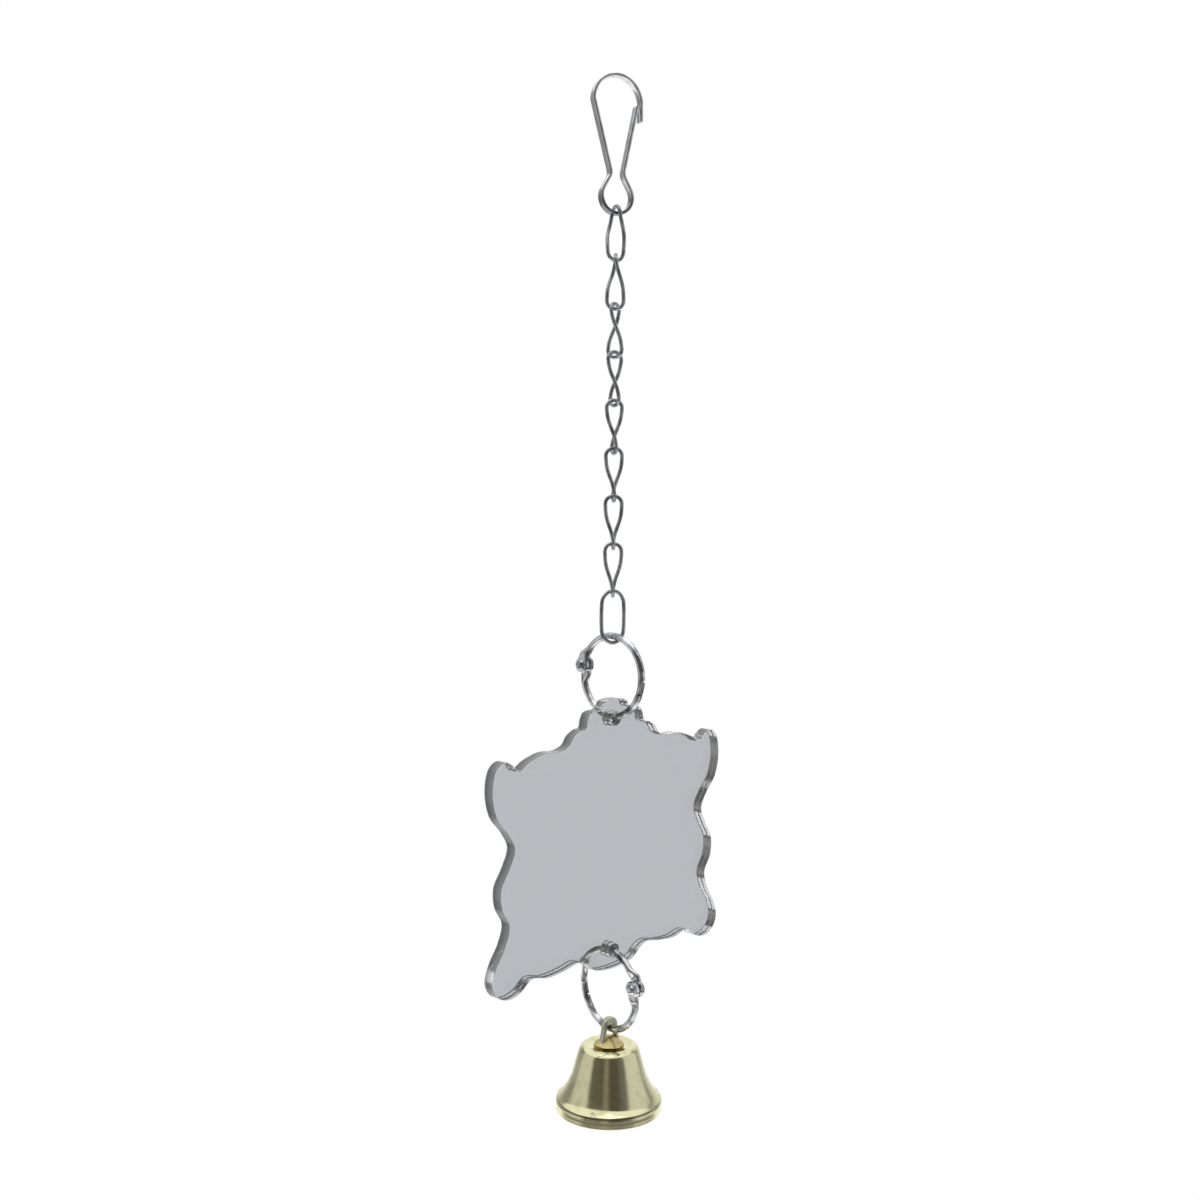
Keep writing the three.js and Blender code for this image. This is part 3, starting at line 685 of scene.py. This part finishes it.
# The groove above the rolled lip is painted dark, a painted shade: full within the core, gone at the
# edge.
GROOVE_SHADE_CORE = 0.12
GROOVE_SHADE_EDGE = 0.32
GROOVE_SHADE_SHARE = 0.85
BRASS_STAIN = 4
HANGER_HEIGHT = 6.3
HANGER_THICKNESS = 0.9
HANGER_WIDTH = 1.7
HANGER_FOOT_SPREAD = 0.7
HANGER_FOOT_SINK = 0.3
HANGER_EDGE_RADIUS = 0.35
HANGER_CROWN_GROWTH = 0.7
HANGER_ARCH_STEPS = 24
HANGER_LEG_STEPS = 8
FLANGE_DIAMETER = 7.6
FLANGE_THICKNESS = 0.7
FLANGE_SEAT = 0.02
FLANGE_RIPPLE = 0.05
FLANGE_SIDES = 64
STEM_DIAMETER = 3.0
SEAT_GAP = 0.3

# The outside of the bell from the rim up: shares of the rim's radius across, of the height up.
BELL_FLANK = [
    (0.996, 0), (1, 0.005), (1, 0.06), (0.999, 0.126), (0.988, 0.143), (0.987, 0.168), (0.942, 0.201),
    (0.895, 0.238), (0.845, 0.3), (0.787, 0.384), (0.727, 0.5), (0.676, 0.634), (0.625, 0.78),
]

# The hanger's golden foot from its rim up: how far in from the flange's edge, and height on the crown.
FOOT_MOUND = [(0.1, FLANGE_SEAT), (0, 0.14), (0.35, 0.36), (0.9, 0.8), (1.5, 1.2), (2.2, 1.75),
              (2.9, 2.1), (3.5, 2.2)]

# Waves that make a cast foot uneven: each one's share, number round the foot and start in radians.
FOOT_WAVES = [(0.6, 3, 0), (0.4, 7, 1)]


def pale_brass(name, bright, tarnished, roughness, line_mm, line_depth_mm, groove_z=None):
    """Pale brass: a warm mirror with lines round it, faint olive tarnish and painted shade in a groove.
    """
    material, tree, place = new_material(name)
    height = node(tree, "ShaderNodeSeparateXYZ", {"Vector": place})
    lines = node(tree, "ShaderNodeTexNoise", {"W": height.outputs["Z"], "Scale": 1 / (line_mm * MM),
                                              "Detail": 2.0}, noise_dimensions="1D")
    stain = node(tree, "ShaderNodeTexNoise", {"Vector": place, "Scale": 1 / (BRASS_STAIN * MM),
                                              "Detail": 5.0, "Roughness": 0.6})
    share = node(tree, "ShaderNodeMapRange", {"Value": stain.outputs["Fac"], "From Min": 0.52,
                                              "From Max": 0.8})
    tint = node(tree, "ShaderNodeMix", {"Factor": share.outputs["Result"], "A": linear(bright),
                                        "B": linear(tarnished)}, data_type="RGBA")
    # Painted shade: the colour darkens towards the groove's height.
    if groove_z is not None:
        from_groove = node(tree, "ShaderNodeMath", {0: height.outputs["Z"], 1: groove_z * MM},
                           operation="SUBTRACT")
        off_groove = node(tree, "ShaderNodeMath", {0: from_groove.outputs["Value"]},
                          operation="ABSOLUTE")
        groove_shade = node(tree, "ShaderNodeMapRange", {"Value": off_groove.outputs["Value"],
                                                 "From Min": GROOVE_SHADE_CORE * MM,
                                                 "From Max": GROOVE_SHADE_EDGE * MM,
                                                 "To Min": GROOVE_SHADE_SHARE, "To Max": 0.0})
        tint = node(tree, "ShaderNodeMix", {"Factor": groove_shade.outputs["Result"],
                                            "A": tint.outputs["Result"],
                                            "B": linear("#5b543a")}, data_type="RGBA")
    dullness = node(tree, "ShaderNodeMapRange", {"Value": stain.outputs["Fac"], "From Min": 0.3,
                                                 "From Max": 0.75, "To Min": roughness[0],
                                                 "To Max": roughness[1]})
    relief = node(tree, "ShaderNodeBump", {"Height": lines.outputs["Fac"], "Strength": 0.4,
                                           "Distance": line_depth_mm * MM})
    metal = node(tree, "ShaderNodeBsdfPrincipled", {
        "Base Color": tint.outputs["Result"], "Metallic": 1.0, "Roughness": dullness.outputs["Result"],
        "Normal": relief.outputs["Normal"]})
    node(tree, "ShaderNodeOutputMaterial", {"Surface": metal.outputs["BSDF"]})
    return material


def lathe_rows(profile, sides, ripple=0):
    """Rings of points round the hanging line, from radius and height pairs, uneven if rippled."""
    angles = [2 * math.pi * i / sides for i in range(sides)]
    uneven = [1 + ripple * sum(share * math.sin(waves * a + start) for share, waves, start in FOOT_WAVES)
              for a in angles]
    return [[Vector((r * u * math.cos(a), r * u * math.sin(a), z)) for a, u in zip(angles, uneven)]
            for r, z in profile]


def bell_line(wall):
    """The bell's outside line from rim to crown, or the inside one a wall away."""
    knots = [Vector((across * BELL_RIM_DIAMETER / 2 - wall, 0, (up - 1) * BELL_HEIGHT))
             for across, up in BELL_FLANK]
    shoulder_arc = arc(-BELL_SHOULDER_RADIUS, BELL_SHOULDER_RADIUS - wall, BELL_SHOULDER_START_ANGLE, 90,
                       BELL_SHOULDER_STEPS)
    shoulder = [Vector((BELL_CROWN_DIAMETER / 2 - BELL_SHOULDER_RADIUS + p.x, 0, p.z))
                for p in shoulder_arc]
    knots += shoulder
    # The curve comes back from the crown to the rim, and that last stretch is left off.
    kept = BELL_CURVE_STEPS * (len(knots) - 1) + 1
    return [(p.x, p.z) for p in smooth_loop(knots, BELL_CURVE_STEPS)[:kept]]


# Polished brass is a pale gold mirror. Its polishing lines, some 0.05 mm apart, are drawn coarser, so
# that they show. The cast arch is greyer and dull, and its foot is rough and golden.
groove_height = BELL_TOP + (BELL_GROOVE - 1) * BELL_HEIGHT
bell_brass = pale_brass("polished_pale_brass", "#ebe7bc", "#c6bf92", roughness=(0.08, 0.2), line_mm=0.22,
                        line_depth_mm=0.004, groove_z=groove_height)
cast_brass = pale_brass("cast_pale_brass", "#bfbeaa", "#95937a", roughness=(0.22, 0.42), line_mm=0.5,
                        line_depth_mm=0.03)
foot_brass = pale_brass("rough_golden_brass", "#cfc08a", "#a69054", roughness=(0.3, 0.5), line_mm=0.5,
                        line_depth_mm=0.05)

stem_radius = STEM_DIAMETER / 2
stem_hole = stem_radius + SEAT_GAP
bell_profile = [*bell_line(0), (stem_hole, 0), (stem_hole, -BELL_WALL), *reversed(bell_line(BELL_WALL))]
bell_place = at(BELL_TOP, LOWER_RING_YAW)
bell_rows = lathe_rows(bell_profile, BELL_SIDES)
bell = skin("bell_shell_drawn", [(bell_rows, True)], bell_place, bell_brass)
dress(bell, "bell", "brass", "bell_shell")

arch_radius = RING_WIRE / 2 + SEAT_GAP + HANGER_THICKNESS / 2
arch_z = HANGER_HEIGHT - HANGER_THICKNESS / 2 - arch_radius
foot_x = arch_radius + HANGER_FOOT_SPREAD
foot_z = SEAT_GAP + FLANGE_THICKNESS - HANGER_FOOT_SINK
feet = [Vector((side * foot_x, 0, foot_z)) for side in (1, -1)]
arch_top = arc(arch_z, arch_radius, 0, 180, HANGER_ARCH_STEPS)
arch_path = [feet[0], *straight(feet[0], arch_top[0], HANGER_LEG_STEPS), *arch_top,
             *straight(arch_top[-1], feet[1], HANGER_LEG_STEPS), feet[1]]
arch_sections = []
for point in arch_path:
    growth = HANGER_CROWN_GROWTH * max(point.z - arch_z, 0) / arch_radius
    section = rounded_strip(HANGER_THICKNESS + growth, HANGER_WIDTH, HANGER_EDGE_RADIUS)
    arch_sections.append([(a + growth / 2, b) for a, b in section])
arch_rows = bar_rows(arch_path, [Y_AXIS] * len(arch_path), arch_sections)
hanger = skin("bell_cast_hanger", [(arch_rows, False)], bell_place, cast_brass)
dress(hanger, "bell", "brass", "bell_hanger")

mound = [(FLANGE_DIAMETER / 2 - step_in, up) for step_in, up in FOOT_MOUND]
foot_profile = [(stem_radius, -BELL_WALL), (stem_radius, FLANGE_SEAT), *mound]
foot_rows = lathe_rows(foot_profile, FLANGE_SIDES, FLANGE_RIPPLE)
foot = skin("bell_hanger_foot", [(foot_rows, False)], bell_place, foot_brass)
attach(foot, "bell")


# Clapper: a bare steel wire with a loop, a pressed-on steel ball, and the washered eye under the crown
# that it hangs from. The bell hides them, so they are left unplated and dull.

EYE_WIRE = 1.0
EYE_INNER_WIDTH = 2.4
EYE_DROP = 2.2
EYE_END_SINK = 0.4
EYE_ARC_STEPS = 24
WASHER_DIAMETER = 6.0
WASHER_THICKNESS = 0.8
WASHER_EDGE = 0.15
WASHER_CAP_RADIUS = 0.3
WASHER_SIDES = 48
CLAPPER_WIRE = 0.9
CLAPPER_LENGTH = 5.8
CLAPPER_LOOP_STEPS = 40
CLAPPER_BALL_DIAMETER = 6.0
CLAPPER_BALL_SIDES = 64
STEEL_MOTTLE = 1.2
STEEL_MOTTLE_DEPTH = 0.02

# The ball's rows, in degrees up from its middle. A small flat closes it at each end.
CLAPPER_BALL_ANGLES = range(-87, 84, 5)


def bare_steel():
    """Unplated mild steel: grey, dull and a little mottled, with brownish spots of first rust."""
    material, tree, place = new_material("dull_bare_steel")
    mottle = node(tree, "ShaderNodeTexNoise", {"Vector": place, "Scale": 1 / (STEEL_MOTTLE * MM),
                                               "Detail": 5.0})
    spots = node(tree, "ShaderNodeMapRange", {"Value": mottle.outputs["Fac"], "From Min": 0.5,
                                              "From Max": 0.8})
    tint = node(tree, "ShaderNodeMix", {"Factor": spots.outputs["Result"], "A": linear("#a5a39d"),
                                        "B": linear("#857664")}, data_type="RGBA")
    dullness = node(tree, "ShaderNodeMapRange", {"Value": mottle.outputs["Fac"], "To Min": 0.3,
                                                 "To Max": 0.6})
    relief = node(tree, "ShaderNodeBump", {"Height": mottle.outputs["Fac"], "Strength": 0.4,
                                           "Distance": STEEL_MOTTLE_DEPTH * MM})
    metal = node(tree, "ShaderNodeBsdfPrincipled", {
        "Base Color": tint.outputs["Result"], "Metallic": 1.0, "Roughness": dullness.outputs["Result"],
        "Normal": relief.outputs["Normal"]})
    node(tree, "ShaderNodeOutputMaterial", {"Surface": metal.outputs["BSDF"]})
    return material


clapper_steel = bare_steel()
washer_top = -BELL_WALL - SEAT_GAP
washer_low = washer_top - WASHER_THICKNESS
eye_radius = (EYE_INNER_WIDTH + EYE_WIRE) / 2
eye_z = washer_low - EYE_DROP
eye_ends = [Vector((side * eye_radius, 0, washer_low + EYE_END_SINK)) for side in (-1, 1)]
eye_path = [eye_ends[0], *arc(eye_z, eye_radius, 180, 360, EYE_ARC_STEPS), eye_ends[1]]
eye_rows = bar_rows(eye_path, [Y_AXIS] * len(eye_path), [round_outline(EYE_WIRE)] * len(eye_path))
washer_edge = WASHER_DIAMETER / 2
washer_rows = lathe_rows([
    (WASHER_CAP_RADIUS, washer_low), (washer_edge - WASHER_EDGE, washer_low),
    (washer_edge, washer_low + WASHER_EDGE), (washer_edge, washer_top - WASHER_EDGE),
    (washer_edge - WASHER_EDGE, washer_top), (WASHER_CAP_RADIUS, washer_top)], WASHER_SIDES)
eye = skin("clapper_eye_washered", [(eye_rows, False), (washer_rows, False)], bell_place, clapper_steel)
dress(eye, "bell", "plain_steel", "clapper_eye")

clapper_z = eye_z - eye_radius
loop_radius = (EYE_WIRE + CLAPPER_WIRE) / 2 + SEAT_GAP
ball_radius = CLAPPER_BALL_DIAMETER / 2
ball_z = clapper_z - CLAPPER_LENGTH
loop_arc = arc(clapper_z, loop_radius, 0, 360, CLAPPER_LOOP_STEPS)[:-1]
loop_path = [Vector((0, p.x, p.z)) for p in loop_arc]
loop_outlines = [round_outline(CLAPPER_WIRE)] * len(loop_path)
loop_rows = bar_rows(loop_path, [X_AXIS] * len(loop_path), loop_outlines, True)
shank_profile = [(CLAPPER_WIRE / 2, ball_z), (CLAPPER_WIRE / 2, clapper_z - loop_radius)]
shank_rows = lathe_rows(shank_profile, WIRE_SIDES)
clapper = skin("clapper_wire_looped", [(loop_rows, True), (shank_rows, False)], bell_place,
               clapper_steel)
dress(clapper, "clapper", "plain_steel", "clapper_wire")
ball_angles = [math.radians(degrees) for degrees in CLAPPER_BALL_ANGLES]
ball_profile = [(ball_radius * math.cos(a), ball_z + ball_radius * math.sin(a)) for a in ball_angles]
ball_rows = lathe_rows(ball_profile, CLAPPER_BALL_SIDES)
ball = skin("clapper_ball_pressed", [(ball_rows, False)], bell_place, clapper_steel)
dress(ball, "clapper", "plain_steel", "clapper_ball")


# Studio: a white sweep behind the toy, a round white floor under it, grey walls with a lit panel on each
# side, a dim room where the camera stands and one softbox overhead. The toy hangs well above the floor.

CAMERA_AZIMUTH = -45.2
CAMERA_DISTANCE = 0.325
CAMERA_HEIGHT = -0.110
CAMERA_OFFSET = 0.0032
CAMERA_PITCH = 3.22
CAMERA_ROLL = 0.44
CAMERA_LENS = 39.0
CAMERA_SENSOR = 36.0
CAMERA_CLIP_START = 0.01
FLOOR_HEIGHT = -0.62
FLOOR_RADIUS = 0.5
FLOOR_SIDES = 96
FLOOR_CLOUD = 1 / 6
SOFTBOX_SIZE = 0.6
SOFTBOX_POWER = 1.0
SOFTBOX_HEIGHT = 0.75

scene = bpy.context.scene
scene.view_settings.view_transform = "Standard"

azimuth = math.radians(CAMERA_AZIMUTH)
pitch = math.radians(CAMERA_PITCH)
roll = math.radians(CAMERA_ROLL)
to_camera = Vector((math.sin(azimuth), -math.cos(azimuth), 0))
to_right = Vector((math.cos(azimuth), math.sin(azimuth), 0))

camera_data = bpy.data.cameras.new("studio_camera")
camera_data.lens = CAMERA_LENS
camera_data.sensor_width = CAMERA_SENSOR
camera_data.clip_start = CAMERA_CLIP_START
camera = bpy.data.objects.new("studio_camera", camera_data)
scene.collection.objects.link(camera)
forward = -to_camera * math.cos(pitch) - Vector((0, 0, math.sin(pitch)))
aim = forward.to_track_quat("-Z", "Y").to_matrix().to_4x4()
stand = to_camera * CAMERA_DISTANCE - to_right * CAMERA_OFFSET + Vector((0, 0, CAMERA_HEIGHT))
camera.matrix_world = Matrix.Translation(stand) @ aim @ Matrix.Rotation(roll, 4, "Z")
scene.camera = camera

# Matt white paper: even, with clouds that are only just there.
floor_material, tree, place = new_material("white_studio_floor")
clouds = node(tree, "ShaderNodeTexNoise", {"Vector": place, "Scale": 1 / FLOOR_CLOUD, "Detail": 2.0})
tint = node(tree, "ShaderNodeMix", {"Factor": clouds.outputs["Fac"], "A": linear("#fdfdfd"),
                                    "B": linear("#fbfbfb")}, data_type="RGBA")
paper = node(tree, "ShaderNodeBsdfDiffuse", {"Color": tint.outputs["Result"]})
node(tree, "ShaderNodeOutputMaterial", {"Surface": paper.outputs["BSDF"]})
floor_mesh = bpy.data.meshes.new("studio_floor")
floor_edge = [Vector((p.x, p.z, FLOOR_HEIGHT)) for p in arc(0, FLOOR_RADIUS, 0, 360, FLOOR_SIDES)[:-1]]
floor_mesh.from_pydata(floor_edge, [], [range(len(floor_edge))])
floor_mesh.materials.append(floor_material)
floor = bpy.data.objects.new("studio_floor", floor_mesh)
scene.collection.objects.link(floor)

# The world is plain white. Metal and acrylic see the white sweep and ceiling too, and the walls between:
# each stop is a direction in degrees from the camera's side, to its right, and the wall's colour there.
ROOM_WALLS = [
    (-180, "#ffffff"), (-160, "#eeeeee"), (-142, "#a6a7a8"), (-131, "#8e8f91"), (-117, "#8e8f91"),
    (-106, "#c9cacc"), (-64, "#d0d1d3"), (-54, "#66625d"), (-20, "#595550"), (-12, "#857f77"),
    (-5, "#857f77"), (3, "#514e49"), (26, "#514e49"), (34, "#646465"), (50, "#727274"),
    (60, "#cfd0d2"), (74, "#d6d7da"), (109, "#d6d7da"), (122, "#8e8f91"), (150, "#f4f4f4"),
    (180, "#ffffff"),
]

# Where the room's other parts begin and are full, as shares of a direction: upwards for the paler
# dado, the dark skirting and the sweep's top, towards the camera for the sweep's sides, and along the
# ceiling's own axis, which leans away from the camera and to its left, for the ceiling.
DADO = (-0.02, -0.12)
DADO_SHARE = 0.35
SKIRTING = (-0.36, -0.48)
SWEEP_SIDES = (-0.2, -0.6)
SWEEP_TOP = (-0.2, -0.32)
CEILING = (0.58, 0.66)
CEILING_LEAN = 10
CEILING_LEAN_AWAY = 0.8
CEILING_LEAN_LEFT = 0.6

world = bpy.data.worlds.new("white_studio")
scene.world = world
world.use_nodes = True
tree = world.node_tree
tree.nodes.clear()
direction = node(tree, "ShaderNodeTexCoord").outputs["Generated"]
facing = node(tree, "ShaderNodeVectorMath", {0: direction, 1: to_camera}, operation="DOT_PRODUCT")
aside = node(tree, "ShaderNodeVectorMath", {0: direction, 1: to_right}, operation="DOT_PRODUCT")
turn = node(tree, "ShaderNodeMath", {0: aside.outputs["Value"], 1: facing.outputs["Value"]},
            operation="ARCTAN2")
share = node(tree, "ShaderNodeMapRange", {"Value": turn.outputs["Value"], "From Min": -math.pi,
                                          "From Max": math.pi})
walls = node(tree, "ShaderNodeValToRGB", {"Fac": share.outputs["Result"]})
ramp = walls.color_ramp.elements
while len(ramp) < len(ROOM_WALLS):
    ramp.new(0.5)
for stop, (degrees, colour) in zip(ramp, ROOM_WALLS):
    stop.position = (degrees + 180) / 360
    stop.color = linear(colour)

height = node(tree, "ShaderNodeSeparateXYZ", {"Vector": direction})
dado = node(tree, "ShaderNodeMapRange", {"Value": height.outputs["Z"], "From Min": DADO[0],
                                         "From Max": DADO[1], "To Max": DADO_SHARE},
            interpolation_type="SMOOTHSTEP")
paler = node(tree, "ShaderNodeMix", {"Factor": dado.outputs["Result"], "A": walls.outputs["Color"],
                                     "B": linear("#c4c5c8")}, data_type="RGBA")
skirting = node(tree, "ShaderNodeMapRange", {"Value": height.outputs["Z"], "From Min": SKIRTING[0],
                                             "From Max": SKIRTING[1]}, interpolation_type="SMOOTHSTEP")
lower = node(tree, "ShaderNodeMix", {"Factor": skirting.outputs["Result"], "A": paler.outputs["Result"],
                                     "B": linear("#73706a")}, data_type="RGBA")
behind = node(tree, "ShaderNodeMapRange", {"Value": facing.outputs["Value"], "From Min": SWEEP_SIDES[0],
                                           "From Max": SWEEP_SIDES[1]}, interpolation_type="SMOOTHSTEP")
below = node(tree, "ShaderNodeMapRange", {"Value": height.outputs["Z"], "From Min": SWEEP_TOP[0],
                                          "From Max": SWEEP_TOP[1]}, interpolation_type="SMOOTHSTEP")
sweep = node(tree, "ShaderNodeMath", {0: behind.outputs["Result"], 1: below.outputs["Result"]},
             operation="MULTIPLY")
swept = node(tree, "ShaderNodeMix", {"Factor": sweep.outputs["Value"], "A": lower.outputs["Result"],
                                     "B": linear("#ffffff")}, data_type="RGBA")
lean = math.radians(CEILING_LEAN)
lean_from = to_camera * CEILING_LEAN_AWAY + to_right * CEILING_LEAN_LEFT
ceiling_axis = Vector((0, 0, math.cos(lean))) - lean_from * math.sin(lean)
ceiling = node(tree, "ShaderNodeVectorMath", {0: direction, 1: ceiling_axis}, operation="DOT_PRODUCT")
overhead = node(tree, "ShaderNodeMapRange", {"Value": ceiling.outputs["Value"], "From Min": CEILING[0],
                                             "From Max": CEILING[1]}, interpolation_type="SMOOTHSTEP")
room = node(tree, "ShaderNodeMix", {"Factor": overhead.outputs["Result"], "A": swept.outputs["Result"],
                                    "B": linear("#fbfbfb")}, data_type="RGBA")
ray = node(tree, "ShaderNodeLightPath").outputs
mirrored = node(tree, "ShaderNodeMath", {0: ray["Is Glossy Ray"], 1: ray["Is Transmission Ray"]},
                operation="MAXIMUM")
seen = node(tree, "ShaderNodeMix", {"Factor": mirrored.outputs["Value"], "A": linear("#ffffff"),
                                    "B": room.outputs["Result"]}, data_type="RGBA")
light = node(tree, "ShaderNodeBackground", {"Color": seen.outputs["Result"], "Strength": 1.0})
node(tree, "ShaderNodeOutputWorld", {"Surface": light.outputs["Background"]})

lamp = bpy.data.lights.new("softbox_overhead", "AREA")
lamp.size = SOFTBOX_SIZE
lamp.energy = SOFTBOX_POWER
softbox = bpy.data.objects.new("softbox_overhead", lamp)
softbox.location = (0, 0, SOFTBOX_HEIGHT)
scene.collection.objects.link(softbox)
